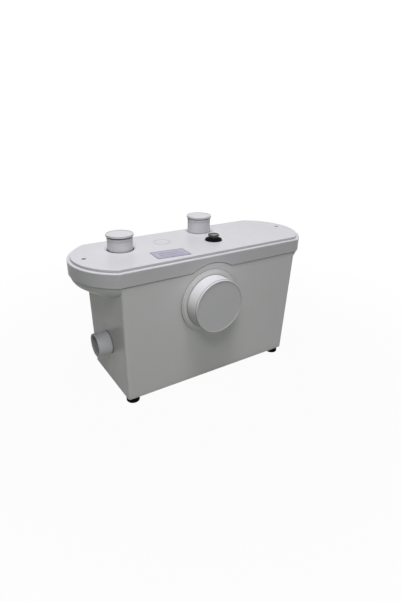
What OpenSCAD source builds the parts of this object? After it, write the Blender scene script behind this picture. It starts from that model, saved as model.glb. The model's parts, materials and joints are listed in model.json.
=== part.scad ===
// Macerator toilet pump: a drafted tank under a bow-ended lid,
// with a grinder pump, a non-return valve and a level switch inside.
// Millimetres. The origin is on the floor, at the middle of the whole part's length and depth.
// +X runs along the tank, -Y is the front and +Z is up.

/* [Tank] */
// Length of the tank at its foot
tank_l = 405; // [397:1:413]
// Width of the tank at its foot
tank_w = 178; // [172:1:183]
// Height of the tank from its underside to its rim
tank_h = 264; // [257.5:0.5:281.5]
// Thickness of the tank's walls
wall = 3.5; // [2.8:0.1:4.2]
// Radius of the tank's upright edges
edge_r = 5; // [4.5:0.5:12]
// Chamfer along the tank's lower edge
base_chamfer = 2; // [1:0.5:3]
// Radius of the bend at the top of each end flare
flare_r = 20; // [16:1:24]
// Slope of each end flare, measured from upright
flare_angle = 58; // [54:1:64]

/* [Feet] */
// Height of the rubber feet under the tank
foot_h = 12; // [9:0.5:15]
// Radius of the rubber feet
foot_r = 13.5; // [10:0.5:14]
// Distance of each front foot's centre from the tank's end
foot_inset_x = 15.5; // [15:0.5:30]
// Distance of each back foot's centre from the tank's end
foot_back_inset_x = 26; // [15:0.5:40]
// Distance of each foot's centre from the tank's side
foot_inset_y = 15.5; // [15:0.5:24]

/* [Lid] */
// Length of the lid's straight sides
lid_straight = 417; // [409:1:425]
// Width of the lid over its skirt
lid_w = 191.4; // [188:0.2:197]
// Reach of each bowed end beyond the straight sides
lid_rise = 55.8; // [51:0.2:60]
// Height of the lid's skirt below the rim's top
skirt_h = 26.8; // [22:0.2:34]
// Thickness of the lid's skirt
skirt_t = 3; // [2.4:0.1:3.6]
// Height of the open joint between the skirt and the tank
skirt_gap = 1.2; // [0.6:0.1:1.6]
// Thickness of the lid's plate
lid_t = 4; // [3:0.1:5]
// Height of the raised panel above the rim
panel_step = 4.7; // [2:0.1:6]
// Width of the rim round the raised panel
rim_w = 6.5; // [5:0.1:8]
// Radius of the rim's upper edge
rim_edge_r = 2; // [1:0.1:3.5]
// Radius of the panel's upper edge
panel_edge_r = 0.5; // [0.4:0.1:2]
// Radius of the arch that clears the toilet inlet in the front skirt
arch_r = 84.5; // [80:0.5:90]
// Sideways place of the arch's centre
arch_x = -13.5; // [-22:0.5:-8]
// Drop of the arch's centre below the toilet inlet's axis
arch_drop = 5; // [3:0.5:8]
// Thickness of the gasket under the lid
gasket_t = 3; // [2:0.1:4]
// Distance of each lid screw from the tank's centre
screw_x = 236.5; // [232:0.5:240]
// Radius of the faint moulded ring on the panel
ring_r = 18; // [14:0.5:22]
// Place of the moulded ring's centre
ring_at = [-61, 24];

/* [Toilet inlet] */
// Sideways place of the toilet inlet's axis
wc_x = -18.5; // [-26:0.5:-12]
// Height of the toilet inlet's axis above the floor
wc_z = 190; // [186:0.5:194]
// Outer radius of the toilet inlet's spigot
wc_r = 55; // [53:0.1:56]
// Wall thickness of the toilet inlet's spigot
wc_wall = 4; // [3:0.1:5]
// Free length of the spigot in front of its flange
wc_out = 28; // [24:0.5:40]
// Radius of the spigot's flange on the tank
wc_flange_r = 65.7; // [64:0.1:67]
// Thickness of the spigot's flange
wc_flange_t = 2.5; // [2:0.1:4]
// Thickness of the plug's face
wc_plug_t = 4; // [3:0.1:6]
// Depth of the plug's body in the spigot
wc_plug_depth = 16; // [10:0.5:24]

/* [Upper inlets] */
// Outer radius of the upper inlet tubes
tube_r = 25; // [24.4:0.1:25.6]
// Wall thickness of the upper inlet tubes
tube_wall = 2.4; // [2:0.1:3]
// Height of the left tube above the lid's panel
tube_rise = 20; // [18:0.1:34]
// Extra height of the right tube above the left one
right_lift = 5.6; // [0:0.1:8]
// Length of the tubes below the lid's plate
tube_drop = 48; // [30:1:60]
// Place of the left tube's axis
left_tube_at = [-154.9, 21.3];
// Place of the right tube's axis
right_tube_at = [51.5, 55.2];
// Open gap between the left tube and its hole in the lid
left_hole_gap = 2.2; // [1.5:0.1:2.6]
// Radius of the plugs' rims
plug_rim_r = 27.2; // [26.4:0.1:28.5]
// Thickness of the plugs' rims
plug_rim_t = 4.2; // [2.5:0.1:5]
// Height of the plugs' necks between rim and tube
plug_neck_h = 7.6; // [4:0.1:10]
// Depth of the plugs' bodies in the tubes
plug_depth = 15; // [10:0.5:20]

/* [Vent] */
// Place of the vent's axis on the lid
vent_at = [40, -19];
// Radius of the vent's rubber base
vent_base_r = 17.5; // [15:0.1:19]
// Height of the vent's rubber base
vent_base_h = 5; // [4:0.1:6]
// Height of the vent's neck above its base
vent_neck_h = 4.4; // [3:0.1:8]
// Radius of the vent's neck
vent_neck_r = 9; // [8.5:0.1:9.5]
// Radius of the vent's mushroom cap
vent_cap_r = 11.8; // [11:0.1:12.6]
// Height of the mushroom cap
vent_cap_h = 3.2; // [2.6:0.1:5]
// Lift of the mushroom cap
vent_lift = 3; // [2:0.5:4]

/* [Outlet] */
// Sideways place of the outlet's axis, towards the back
out_y = -4; // [-6:0.5:-2]
// Height of the outlet's axis above the floor
out_z = 106; // [104:0.5:109]
// Outer radius of the outlet spigot
out_r = 24.2; // [23.4:0.1:25]
// Wall thickness of the outlet spigot
out_wall = 3.4; // [2.5:0.1:4]
// Free length of the outlet spigot outside the tank's end
out_len = 29; // [22:0.5:40]
// Length of the valve chamber behind the outlet
valve_l = 42; // [40:0.5:46]

/* [Grinder pump] */
// Place of the shaft's axis, towards the back
shaft_y = 24; // [22:0.5:26]
// Height of the shaft's axis above the tank's floor
shaft_h = 63; // [61:0.5:66]
// Radius of the shaft
shaft_r = 6; // [5:0.1:6.5]
// Inner length of the grinding basket
basket_l = 100; // [96:1:104]
// Outer radius of the basket's round floor
basket_r = 50; // [48:0.5:52]
// Thickness of the basket's shell
basket_t = 2.5; // [2:0.1:3.5]
// Radius of the basket's drain holes
drain_r = 3.5; // [2.5:0.1:4.5]
// Radius swept by the cutter's arms
cutter_r = 42; // [36:0.5:44]
// Radius of the impeller
impeller_r = 34; // [30:0.5:35]
// Axial depth of the pump casing
casing_l = 32; // [30:0.5:36]
// Outer radius of the motor's can
motor_r = 48; // [47:0.5:50]
// Length of the motor's can
motor_l = 112; // [108:1:118]

/* [Level switch] */
// Place of the level switch's axis
switch_at = [122, -50];
// Radius of the switch's housing
switch_r = 30; // [28:0.5:31]
// Travel of the switch's plunger
switch_travel = 2; // [1:0.5:2]

/* [Clearances] */
// Gap between pieces that are fixed together
fit = 0.2; // [0.1:0.05:0.3]
// Gap between pieces that slide apart
slide_gap = 0.3; // [0.25:0.05:0.4]
// Gap between a shaft and its bearing
run_gap = 0.05; // [0.03:0.01:0.08]

/* [Hidden] */
$fn = 72;

// Heights, from the floor up
z_floor = foot_h + wall;
z_rim = foot_h + tank_h;
z_ledge_under = z_rim + gasket_t;
z_ledge = z_ledge_under + lid_t;
z_top = z_ledge + panel_step;
z_under = z_top - lid_t;
z_skirt = z_ledge - skirt_h;
z_flare = z_skirt - skirt_gap;

// Plan of the lid: straight sides closed by shallow arcs that meet them at a kink
end_r = (pow(lid_w / 2, 2) + pow(lid_rise, 2)) / (2 * lid_rise);
end_c = lid_straight / 2 + lid_rise - end_r;
lid_l = lid_straight + 2 * lid_rise;
pocket_inset = rim_w + lid_t;
neck_gap = 2;
neck_inset = skirt_t + neck_gap;
neck_w = lid_w - 2 * neck_inset;
neck_extra = 0.5;
neck_wall = wall + neck_extra;
flare_inset = 2.5;
cut = 1;
disc_h = 0.02;
edge_steps = 5;
bend_steps = 6;
corner_sides = 40;

// Half sizes of the tank's outer faces at a height
rim_in = 2;
wall_in = 0.6;
rim_half_l = lid_straight / 2 - rim_in;
rim_half_w = lid_w / 2 - wall_in;
function half_l(z) = tank_l / 2 + (rim_half_l - tank_l / 2) * (z - foot_h) / tank_h;
function half_w(z) = tank_w / 2 + (rim_half_w - tank_w / 2) * (z - foot_h) / tank_h;

// Largest and smallest of these half sizes over a round fitting's height
function outer_l(z, r) = max(half_l(z - r), half_l(z + r));
function inner_l(z, r) = min(half_l(z - r), half_l(z + r));
function outer_w(z, r) = max(half_w(z - r), half_w(z + r));
function inner_w(z, r) = min(half_w(z - r), half_w(z + r));

// Half width of the end flares, a little behind the tank's front and back walls
flare_side_in = 0.3;
flare_half_w = inner_w(z_flare - flare_r, flare_r) - flare_side_in;

// Feet, with the back pair further in than the front pair
function foot_at(sx, sy, z) = [
    sx * (tank_l / 2 - (sy < 0 ? foot_inset_x : foot_back_inset_x)),
    sy * (tank_w / 2 - foot_inset_y),
    z
];
foot_stem_r = 4;
foot_stem_h = 7;
foot_boss_r = 8;
foot_edge = 2;

// Lid screws
screw_r = 2;
screw_head_r = 4.2;
screw_head_h = 2;
screw_l = 16;
screw_boss_r = 6.5;
screw_boss_drop = 60;
cross_l = 5;
cross_w = 1;
cross_depth = 1.5;

// Moulded ring on the panel
ring_w = 1.2;
ring_depth = 0.5;

// Step by which a pipe is slimmer where it runs inside other pieces
step_in = 0.6;

// Toilet inlet, with flat pads on the drafted front wall
pad_proud = 0.3;
wc_pad_y = -(outer_w(wc_z, wc_flange_r) + pad_proud);
wc_back_y = -(inner_w(wc_z, wc_flange_r) - wall - pad_proud);
wc_slim_r = wc_r - step_in;
wc_lip_w = 3;
wc_lip_t = 1.4;
wc_flange_edge = 0.5;
wc_front_y = wc_pad_y - wc_flange_t - wc_out;
wc_gasket_t = 2;
wc_nut_t = 8;
wc_nut_wall = 8;
wc_inner_reach = 26;
wc_bore_r = wc_r - wc_wall;
wc_spigot_l = wc_back_y + wc_inner_reach - wc_front_y;
nut_notch_r = 3;
nut_notch_step = 30;
wc_plug_inset = 0.7;
wc_plug_edge = 1;
wc_plug_lip = 2.2;
wc_plug_dish = 0.8;
wc_plug_wall = 3;
wc_face_y = wc_front_y - fit - wc_plug_t;

// Upper inlets
tube_bore_r = tube_r - tube_wall;
tube_slim_r = tube_r - step_in;
z_left_tube = z_top + tube_rise;
z_right_tube = z_left_tube + right_lift;
z_tube_foot = z_under - tube_drop;
tube_flange_t = 3;
flange_lap = 3;
left_flange_r = tube_r + left_hole_gap + flange_lap;
right_flange_r = tube_r + flange_lap;
plug_wall = 2;
plug_edge = 1;
plug_dish_in = 3;
plug_dish = 0.5;
plug_neck_proud = 0.4;
groove_h = 2.6;
groove_depth = 1.6;
groove_r = tube_r - groove_depth;
ring_set = 0.5;
seal_ring_w = 4;
seal_ring_h = 1;
seal_ring_lip_w = 1.6;
seal_ring_lip_h = 0.5;

// Vent
vent_bore_r = 5.5;
vent_stem_r = 2.5;
vent_guide_h = 3;
vent_body_drop = 18;
z_vent_seat = z_top + vent_base_h + vent_neck_h;
z_vent_body = z_under - vent_body_drop;
vent_nut_r = 14;
vent_nut_h = 5;
vent_base_step = 3;
vent_skirt_h = 0.7 * vent_base_h;
vent_base_edge = 1.2;
vent_cap_edge = 1.4;
vent_cap_lip = 3;
vent_cap_dish = 0.8;
vent_hole_r = 1;
vent_hole_out = 1.5;
clip_h = 2;
clip_lip = 1.5;
clip_play = 0.5;
filter_r = 15;
filter_h = 24;
filter_socket = 8;
filter_hole_r = 2;
filter_hole_inset = 5;

// Outlet and valve, along the outlet's axis
out_bore_r = out_r - out_wall;
out_slim_r = out_r - step_in;
out_flange_r = 33;
out_flange_t = 3.5;
out_gasket_t = 2;
out_pad_x = inner_l(out_z, out_flange_r) - wall - pad_proud;
x_out_end = -half_l(out_z) - out_len;
x_out_wall = -outer_l(out_z, out_r);
x_gasket = -out_pad_x;
x_flange = x_gasket + out_gasket_t;
x_valve = x_flange + out_flange_t;
x_seat = x_valve + valve_l;
chamber_r = 26;
valve_r = 30;
seat_t = 4;
x_tail = x_seat + seat_t;
tail_r = 16;
tail_bore_r = 13;
flap_r = 19;
flap_t = 3;
flap_pin_h = 19;
flap_pin_back = 4.5;
flap_pin_r = 1.5;
flap_knuckle_r = 3.2;
flap_knuckle_l = 20;
flap_pin_l = 44;
flap_arm_w = 12;
x_pin = x_seat - flap_pin_back;
z_pin = out_z + flap_pin_h;

// Grinder pump, along the shaft's axis
shaft_z = z_floor + shaft_h;
plate_t = 4;
x_basket_r = wc_x + basket_l / 2;
x_basket_l = wc_x - basket_l / 2;
suction_gap = 10;
cover_t = 4;
casing_wall = 3.5;
x_cover = x_basket_l - plate_t - suction_gap;
x_casing = x_cover - cover_t;
x_casing_back = x_casing - casing_l;
tail_gap = x_casing_back - x_tail;
tail_clear = 4;
tail_l = (tail_gap - tail_clear) / 2;
sleeve_wall = 3.6;
clamp_w = 8;
clamp_t = 1.5;
clamp_in = 2;
clamp_box_h = 7;
clamp_box_w = 10;
clamp_screw_r = 2;
clamp_screw_h = 4.5;
throat = [out_y - shaft_y, out_z - shaft_z];
throat_angle = atan2(throat[1], throat[0]);
throat_reach = norm(throat);
throat_r = 18;
volute_gap = 4;
volute_r = impeller_r + volute_gap;
volute_steps = 36;
volute_start = 20;
casing_foot_w = 40;
eye_r = 17;
basket_gap = 3;
basket_top = wc_z - wc_r - basket_gap;
basket_front = -72;
basket_steps = 13;
drain_rows = 8;
drain_step = 24;
shaft_clear = 1.5;
hub_r = 12;
hub_l = 34;
knife_t = 4;
knife_w = 13;
knife_in = 6;
knife_pitch = 18;
knife_belly = 3;
knife_heel = 1;
knife_tip = 4;

// Motor, to the right of the basket
bracket_neck_l = 16;
bracket_flange_t = 8;
x_bracket = x_basket_r + plate_t;
x_can = x_bracket + bracket_neck_l + bracket_flange_t;
x_can_end = x_can + motor_l;
can_wall = 3;
can_bore_r = motor_r - can_wall;
lip_l = 5;
lip_t = 3;
bracket_neck_wall = 8;
end_boss_wall = 4;
shaft_relief = 2;
relief_l = 5;
shield_in = 3;
shield_depth = 0.6;
saddle_l = 18;
saddle_w = 64;
saddle_in = 16;
end_cover_t = 8;
bearing_r = 16;
bearing_w = 9;
seal_r = 13;
seal_w = 12;
core_l = 56;
x_core = x_can + (motor_l - core_l) / 2;
rotor_r = 24;
air_gap = 0.6;
slots = 12;
slot_w = 6;
slot_depth = 11;
tooth_tip = 3;
slot_in_r = rotor_r + air_gap + tooth_tip;
end_turn_l = 13;
bearing_set = 2;
x_rear_bearing = x_can_end - bearing_w - bearing_set;
shaft_set = 1;
x_shaft_end = x_can_end - shaft_set;
impeller_l = 18;
shroud_t = 4;
vane_r = 26;
vane_t = 3;
vane_root = 2;
impeller_set = 3;
x_impeller = x_casing_back + casing_wall + impeller_set;
nut_l = 6;
nut_r = 11;
nut_gap = 1.5;

// Level switch, hung from the lid's plate
switch_h = 22;
z_switch = z_under - switch_h;
cup_wall = 3;
diaphragm_t = 1.5;
bell_cup_h = 14;
bell_r = 17;
bell_wall = 2.5;
bell_foot = 10;
bell_slot_w = 6;
bell_slot_h = 8;
plunger_r = 12;
plunger_t = 2.5;
plunger_stem_r = 3;
plunger_h = 10;
guide_w = 9;
guide_t = 2.4;
guide_z = plunger_t + switch_travel + 2 * slide_gap;
micro_l = 24;
micro_w = 10;

// Terminal box, hung from the lid's plate
box_at = [101, -8];
box_size = [84, 78, 34];
box_wall = 2.5;
box_inner_l = box_size[0] - 2 * box_wall;
box_inner_w = box_size[1] - 2 * box_wall;
cover_lip_h = 3;
cover_lip_t = 2;
capacitor_r = 14;
capacitor_l = 52;
capacitor_gap = 3;
capacitor_cap = 3;
strip = [54, 18, 12];
strip_gap = 8;
strip_pitch = 10;
strip_margin = 7;
strip_rows = [5, 13];
strip_screw_r = 2.4;
strip_screw_depth = 5;
lead_r = 3.5;
lead_boss_r = 7;
lead_boss_h = 6;
lead_boss_x = 36;
lead_start = [x_can + lead_boss_x, shaft_y, shaft_z + motor_r + lead_boss_h];
lead_in = [56, 34];
lead_end = [box_at[0] + lead_in[0], box_at[1] + lead_in[1], z_under - box_size[2] - box_wall];
lead_rings = 14;
lead_sides = 10;

// Supply gland in the back wall
gland_drop = 22;
gland_at = [143, z_skirt - gland_drop];
gland_r = 7.8;
gland_bore_r = 4.2;
gland_hex_r = 12;
gland_pad_lap = 2;
gland_pad_r = gland_hex_r + gland_pad_lap;
gland_nut_t = 6;
gland_flange_t = 5;
gland_dome_r = 10;
gland_dome_h = 10;
gland_edge = 4;
gland_stem_l = 10;
gland_pad_y = outer_w(gland_at[1], gland_hex_r) + pad_proud;
gland_inner_y = inner_w(gland_at[1], gland_hex_r) - wall - pad_proud;
gland_end_y = gland_pad_y + gland_flange_t + gland_dome_h;

// Middle of the whole part's depth, from the toilet inlet's plug to the gland
middle_y = (wc_face_y + gland_end_y) / 2;

// Shared shapes

// Puts a shape that stands on +Z along +X, on the shaft's axis
module on_shaft(x) {
    translate([x, shaft_y, shaft_z]) rotate([0, 90, 0]) children();
}

// Puts a shape that stands on +Z along +X, on the outlet's axis
module on_outlet(x) {
    translate([x, out_y, out_z]) rotate([0, 90, 0]) children();
}

// Puts a shape that stands on +Z along +Y, on the toilet inlet's axis
module on_inlet(y) {
    translate([wc_x, y, wc_z]) rotate([-90, 0, 0]) children();
}

// Puts a shape that stands on +Z along +Y, on the supply gland's axis
module on_gland(y) {
    translate([gland_at[0], y, gland_at[1]]) rotate([-90, 0, 0]) children();
}

// Puts a shape that stands on +Z along +Y, on the flap's pin
module on_pin(y) {
    translate([x_pin, out_y + y, z_pin]) rotate([-90, 0, 0]) children();
}

// Draws a flat outline in the upright YZ plane and runs it along +X
module run_x(x, length) {
    translate([x, 0, 0]) rotate([90, 0, 90]) linear_extrude(length) children();
}

// A plain tube standing on +Z
module tube(r, bore, h) {
    difference() {
        cylinder(r = r, h = h);
        translate([0, 0, -cut]) cylinder(r = bore, h = h + 2 * cut);
    }
}

// Points of a rounded upper edge at a radius and a height
function rounded_edge(r, z1, e) = [
    for (i = [0 : edge_steps]) let (a = 90 * i / edge_steps)
        [r - e + e * cos(a), z1 - e + e * sin(a)]
];

// A disc with a rounded upper edge, standing on +Z
module soft_disc(r, h, e) {
    rotate_extrude() polygon(concat([[0, 0], [r, 0]], rounded_edge(r, h, e), [[0, h]]));
}

// The lid's plan, drawn in by an inset
module plan(inset) {
    intersection() {
        square([lid_l + 2 * cut, lid_w - 2 * inset], center = true);
        union() {
            square([2 * end_c, 2 * end_r], center = true);
            for (s = [-1, 1]) translate([s * end_c, 0]) circle(end_r - inset);
        }
    }
}

// The lid's plan as a solid with a rounded upper edge
module rounded_plan(inset, z0, z1, e) {
    w = lid_w / 2 - inset;
    r = end_r - inset;
    right = concat([[w, z0]], rounded_edge(w, z1, e));
    left = [for (i = [len(right) - 1 : -1 : 0]) [-right[i][0], right[i][1]]];
    intersection() {
        run_x(-lid_l, 2 * lid_l) polygon(concat(right, left));
        union() {
            translate([-end_c, -end_r, z0 - cut]) cube([2 * end_c, 2 * end_r, z1 - z0 + 2 * cut]);
            for (s = [-1, 1]) translate([s * end_c, 0, 0]) {
                rotate_extrude() {
                    polygon(concat([[0, z0], [r, z0]], rounded_edge(r, z1, e), [[0, z1]]));
                }
            }
        }
    }
}

// One upright corner of the drafted tank at a height
module tank_corner(sx, sy, z, inset, r, lift) {
    translate([sx * (half_l(z) - inset - r), sy * (half_w(z) - inset - r), z + lift]) {
        cylinder(r = r, h = disc_h, $fn = corner_sides);
    }
}

// The drafted body of the tank, drawn in by an inset
module drafted_body(inset, z0, z1, chamfer) {
    r = edge_r - inset;
    hull() {
        for (sx = [-1, 1], sy = [-1, 1]) {
            tank_corner(sx, sy, z0, inset + chamfer, r, 0);
            tank_corner(sx, sy, z0 + chamfer, inset, r, 0);
            tank_corner(sx, sy, z1, inset, r, -disc_h);
        }
    }
}

// The flare that carries the lid's bowed end down to the tank's end wall
module end_flare(side, r_neck, r_top, bend, r_foot, neck_half, foot_half, z1) {
    arc = [
        for (i = [0 : bend_steps]) let (a = flare_angle * i / bend_steps)
            [r_top - bend * (1 - cos(a)), z_flare - bend * sin(a)]
    ];
    last = arc[bend_steps];
    neck = [[0, z1], [r_neck, z1], [r_neck, z_flare]];
    z_foot = last[1] - (last[0] - r_foot) / tan(flare_angle);
    intersection() {
        translate([side * end_c, 0, 0]) rotate_extrude() {
            polygon(concat(neck, arc, [[r_foot, z_foot], [0, z_foot]]));
        }
        union() {
            translate([-lid_l, -neck_half, 0]) cube([2 * lid_l, 2 * neck_half, 2 * z_rim]);
            translate([-lid_l, -foot_half, 0]) cube([2 * lid_l, 2 * foot_half, z_flare]);
        }
    }
}

// Outer form of one end flare, with a neck that stands inside the lid's skirt
module flare_outside(side) {
    end_flare(side, end_r - neck_inset, end_r - flare_inset, flare_r,
        tank_l / 2 - end_c - 2 * wall, neck_w / 2, flare_half_w, z_rim);
}

// Hollow of one end flare
module flare_inside(side) {
    r = end_r - neck_inset - wall;
    half = neck_w / 2 - wall;
    end_flare(side, r, r - disc_h, flare_r - wall,
        tank_l / 2 - end_c - 4 * wall, half, half, z_rim + cut);
}

// Boss that takes a lid screw in one end flare
module lid_boss(side) {
    intersection() {
        translate([side * screw_x, 0, z_flare - screw_boss_drop]) {
            cylinder(r = screw_boss_r, h = screw_boss_drop);
        }
        flare_outside(side);
    }
    translate([side * screw_x, 0, z_flare - cut]) {
        cylinder(r = screw_boss_r, h = z_under - z_flare + cut);
    }
}

// Keeps the part of a shape that lies below the tank's rim
module under_rim() {
    intersection() {
        children();
        translate([-lid_l, -lid_w, 0]) cube([2 * lid_l, 2 * lid_w, z_rim]);
    }
}

// Room for the lid's skirt round the tank's neck; the front wall stands up inside the skirt's arch
module lap_step() {
    difference() {
        translate([-lid_l, -lid_w, z_flare]) cube([2 * lid_l, 2 * lid_w, z_rim]);
        translate([-2 * lid_l, -neck_w / 2, 0]) cube([4 * lid_l, neck_w, 3 * z_rim]);
        translate([arch_x, 0, wc_z - arch_drop]) rotate([90, 0, 0]) {
            cylinder(r = arch_r - skirt_gap, h = 2 * lid_w);
        }
    }
}

// Hollow of the tank's neck between its end flares
module neck_inside() {
    translate([-end_c, neck_wall - neck_w / 2, z_flare - wall - cut]) {
        cube([2 * end_c, neck_w - 2 * neck_wall, z_rim]);
    }
}

// Casing and covers

module tank() {
    color("#d9dad6") difference() {
        union() {
            difference() {
                union() {
                    difference() {
                        drafted_body(0, foot_h, z_rim, base_chamfer);
                        lap_step();
                    }
                    for (s = [-1, 1]) flare_outside(s);
                    under_rim() on_inlet(wc_pad_y) {
                        cylinder(r = wc_flange_r, h = -wc_pad_y - half_w(wc_z) + wall);
                    }
                    on_gland(0) cylinder(r = gland_pad_r, h = gland_pad_y);
                }
                drafted_body(wall, z_floor, z_flare - wall, 0);
                neck_inside();
                for (s = [-1, 1]) flare_inside(s);
            }
            under_rim() on_inlet(wc_back_y - wall) cylinder(r = wc_flange_r, h = wall);
            on_outlet(-out_pad_x - wall) cylinder(r = out_flange_r, h = wall);
            on_gland(gland_inner_y) cylinder(r = gland_pad_r, h = wall);
            for (sx = [-1, 1], sy = [-1, 1]) translate(foot_at(sx, sy, z_floor - cut)) {
                cylinder(r = foot_boss_r, h = foot_stem_h + cut);
            }
            for (s = [-1, 1]) lid_boss(s);
        }
        on_inlet(wc_pad_y - cut) cylinder(r = wc_slim_r + fit, h = wc_back_y - wc_pad_y + 2 * cut);
        on_inlet(wc_back_y) cylinder(r = wc_r + wc_nut_wall + fit, h = wc_gasket_t + wc_nut_t);
        on_outlet(-lid_l / 2) cylinder(r = out_r + fit, h = lid_l / 2);
        on_gland(0) cylinder(r = gland_r + fit, h = gland_pad_y + cut);
        for (sx = [-1, 1], sy = [-1, 1]) translate(foot_at(sx, sy, foot_h - cut)) {
            cylinder(r = foot_stem_r, h = foot_stem_h + cut);
        }
        for (s = [-1, 1]) translate([s * screw_x, 0, z_under - screw_l]) {
            cylinder(r = screw_r + fit, h = screw_l + cut);
        }
    }
}

module rubber_feet() {
    color("#161616") for (sx = [-1, 1], sy = [-1, 1]) translate(foot_at(sx, sy, 0)) {
        translate([0, 0, foot_h]) mirror([0, 0, 1]) soft_disc(foot_r, foot_h, foot_edge);
        translate([0, 0, foot_h - cut]) cylinder(r = foot_stem_r - fit, h = foot_stem_h);
    }
}

module lid() {
    color("#e6e6e4") difference() {
        union() {
            rounded_plan(0, z_skirt, z_ledge, rim_edge_r);
            rounded_plan(rim_w, z_ledge - cut, z_top, panel_edge_r);
        }
        translate([0, 0, z_skirt - cut]) {
            linear_extrude(z_ledge_under - z_skirt + cut) plan(skirt_t);
        }
        translate([0, 0, z_ledge_under - cut]) {
            linear_extrude(z_under - z_ledge_under + cut) plan(pocket_inset);
        }
        translate([arch_x, -half_w(0), wc_z - arch_drop]) rotate([90, 0, 0]) {
            cylinder(r = arch_r, h = lid_w);
        }
        for (s = [-1, 1]) translate([s * screw_x, 0, 0]) {
            translate([0, 0, z_skirt]) cylinder(r = screw_r + fit, h = z_top);
            translate([0, 0, z_top - screw_head_h]) {
                cylinder(r = screw_head_r + fit, h = screw_head_h + cut);
            }
        }
        translate(left_tube_at) cylinder(r = tube_r + left_hole_gap, h = z_top + cut);
        translate(right_tube_at) cylinder(r = tube_r + fit, h = z_top + cut);
        translate(vent_at) cylinder(r = vent_neck_r + fit, h = z_top + cut);
        translate([ring_at[0], ring_at[1], z_top - ring_depth]) tube(ring_r, ring_r - ring_w, cut);
    }
}

module lid_gasket() {
    color("#2a2a2a") translate([0, 0, z_rim]) linear_extrude(gasket_t) difference() {
        plan(neck_inset);
        plan(neck_inset + wall);
    }
}

module lid_screws() {
    color("#55565a") for (s = [-1, 1]) translate([s * screw_x, 0, z_top - screw_head_h]) {
        difference() {
            union() {
                cylinder(r = screw_head_r, h = screw_head_h - fit);
                translate([0, 0, screw_head_h - screw_l]) cylinder(r = screw_r, h = screw_l - cut);
            }
            for (a = [0, 90]) rotate(a) {
                translate([-cross_l / 2, -cross_w / 2, screw_head_h - cross_depth]) {
                    cube([cross_l, cross_w, screw_head_h]);
                }
            }
        }
    }
}

// Toilet inlet

module wc_inlet_spigot() {
    color("#e2e2e0") on_inlet(wc_front_y) difference() {
        union() {
            cylinder(r = wc_r, h = wc_out);
            cylinder(r = wc_slim_r, h = wc_spigot_l);
        }
        translate([0, 0, -cut]) cylinder(r = wc_bore_r, h = wc_spigot_l + 2 * cut);
    }
}

// A ring with a thinner outer lip, on the flat pad in front of the tank
module wc_inlet_flange() {
    bore = wc_slim_r + fit;
    shoulder = wc_flange_r - wc_lip_w;
    color("#d9dad6") on_inlet(wc_pad_y) rotate([180, 0, 0]) rotate_extrude() {
        polygon(concat(
            [[bore, 0], [wc_flange_r, 0]],
            rounded_edge(wc_flange_r, wc_lip_t, wc_flange_edge),
            [[shoulder, wc_lip_t]],
            rounded_edge(shoulder, wc_flange_t, wc_flange_edge),
            [[bore, wc_flange_t]]
        ));
    }
}

module wc_inlet_gasket() {
    color("#2a2a2a") on_inlet(wc_back_y) tube(wc_r + wc_nut_wall, wc_slim_r + fit, wc_gasket_t);
}

module wc_inlet_nut() {
    color("#c9cac8") difference() {
        on_inlet(wc_back_y + wc_gasket_t) tube(wc_r + wc_nut_wall, wc_slim_r + fit, wc_nut_t);
        for (a = [0 : nut_notch_step : 359]) on_inlet(wc_back_y + wc_gasket_t + cut) rotate(a) {
            translate([wc_r + wc_nut_wall, 0, 0]) cylinder(r = nut_notch_r, h = wc_nut_t);
        }
    }
}

module wc_inlet_plug() {
    body_r = wc_bore_r - slide_gap;
    color("#ececea") difference() {
        union() {
            on_inlet(wc_front_y - fit) rotate([180, 0, 0]) {
                soft_disc(wc_r - wc_plug_inset, wc_plug_t, wc_plug_edge);
            }
            on_inlet(wc_front_y - fit - cut) cylinder(r = body_r, h = wc_plug_depth + cut);
        }
        on_inlet(wc_front_y) cylinder(r = body_r - wc_plug_wall, h = wc_plug_depth + cut);
        on_inlet(wc_face_y - cut) {
            cylinder(r = wc_r - wc_plug_inset - wc_plug_lip, h = wc_plug_dish + cut);
        }
    }
}

// Upper inlets

// A tube that is full size above a height and a little slimmer below it
module inlet_tube(at, z_full, z_end) {
    translate([at[0], at[1], z_tube_foot]) difference() {
        union() {
            translate([0, 0, z_full - z_tube_foot]) cylinder(r = tube_r, h = z_end - z_full);
            cylinder(r = tube_slim_r, h = z_full - z_tube_foot + cut);
        }
        translate([0, 0, -cut]) cylinder(r = tube_bore_r, h = z_end - z_tube_foot + 2 * cut);
    }
}

// A plug with a dished rim, a groove for its seal, a neck over the tube's end and a cup in the bore
module inlet_plug(at, z_end) {
    body_r = tube_bore_r - slide_gap;
    translate([at[0], at[1], z_end + fit]) difference() {
        union() {
            translate([0, 0, plug_neck_h]) soft_disc(plug_rim_r, plug_rim_t, plug_edge);
            cylinder(r = groove_r, h = plug_neck_h + cut);
            cylinder(r = tube_r + plug_neck_proud, h = plug_neck_h - groove_h);
            translate([0, 0, -plug_depth]) cylinder(r = body_r, h = plug_depth + cut);
        }
        translate([0, 0, -plug_depth - cut]) {
            cylinder(r = body_r - plug_wall, h = plug_depth + plug_neck_h);
        }
        translate([0, 0, plug_neck_h + plug_rim_t - plug_dish]) {
            cylinder(r = plug_rim_r - plug_dish_in, h = cut);
        }
    }
}

// The dark ring in a plug's groove
module plug_seal(at, z_end) {
    z = z_end + plug_neck_h - groove_h + 2 * fit;
    translate([at[0], at[1], z]) tube(tube_r - ring_set, groove_r + fit, groove_h - 2 * fit);
}

module left_inlet_tube() {
    color("#dededc") inlet_tube(left_tube_at, z_top, z_left_tube);
}

module left_inlet_plug() {
    color("#ececea") inlet_plug(left_tube_at, z_left_tube);
}

module left_plug_seal() {
    color("#2c2d26") plug_seal(left_tube_at, z_left_tube);
}

module right_inlet_tube() {
    color("#dededc") inlet_tube(right_tube_at, z_top + seal_ring_h + fit, z_right_tube);
}

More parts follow.
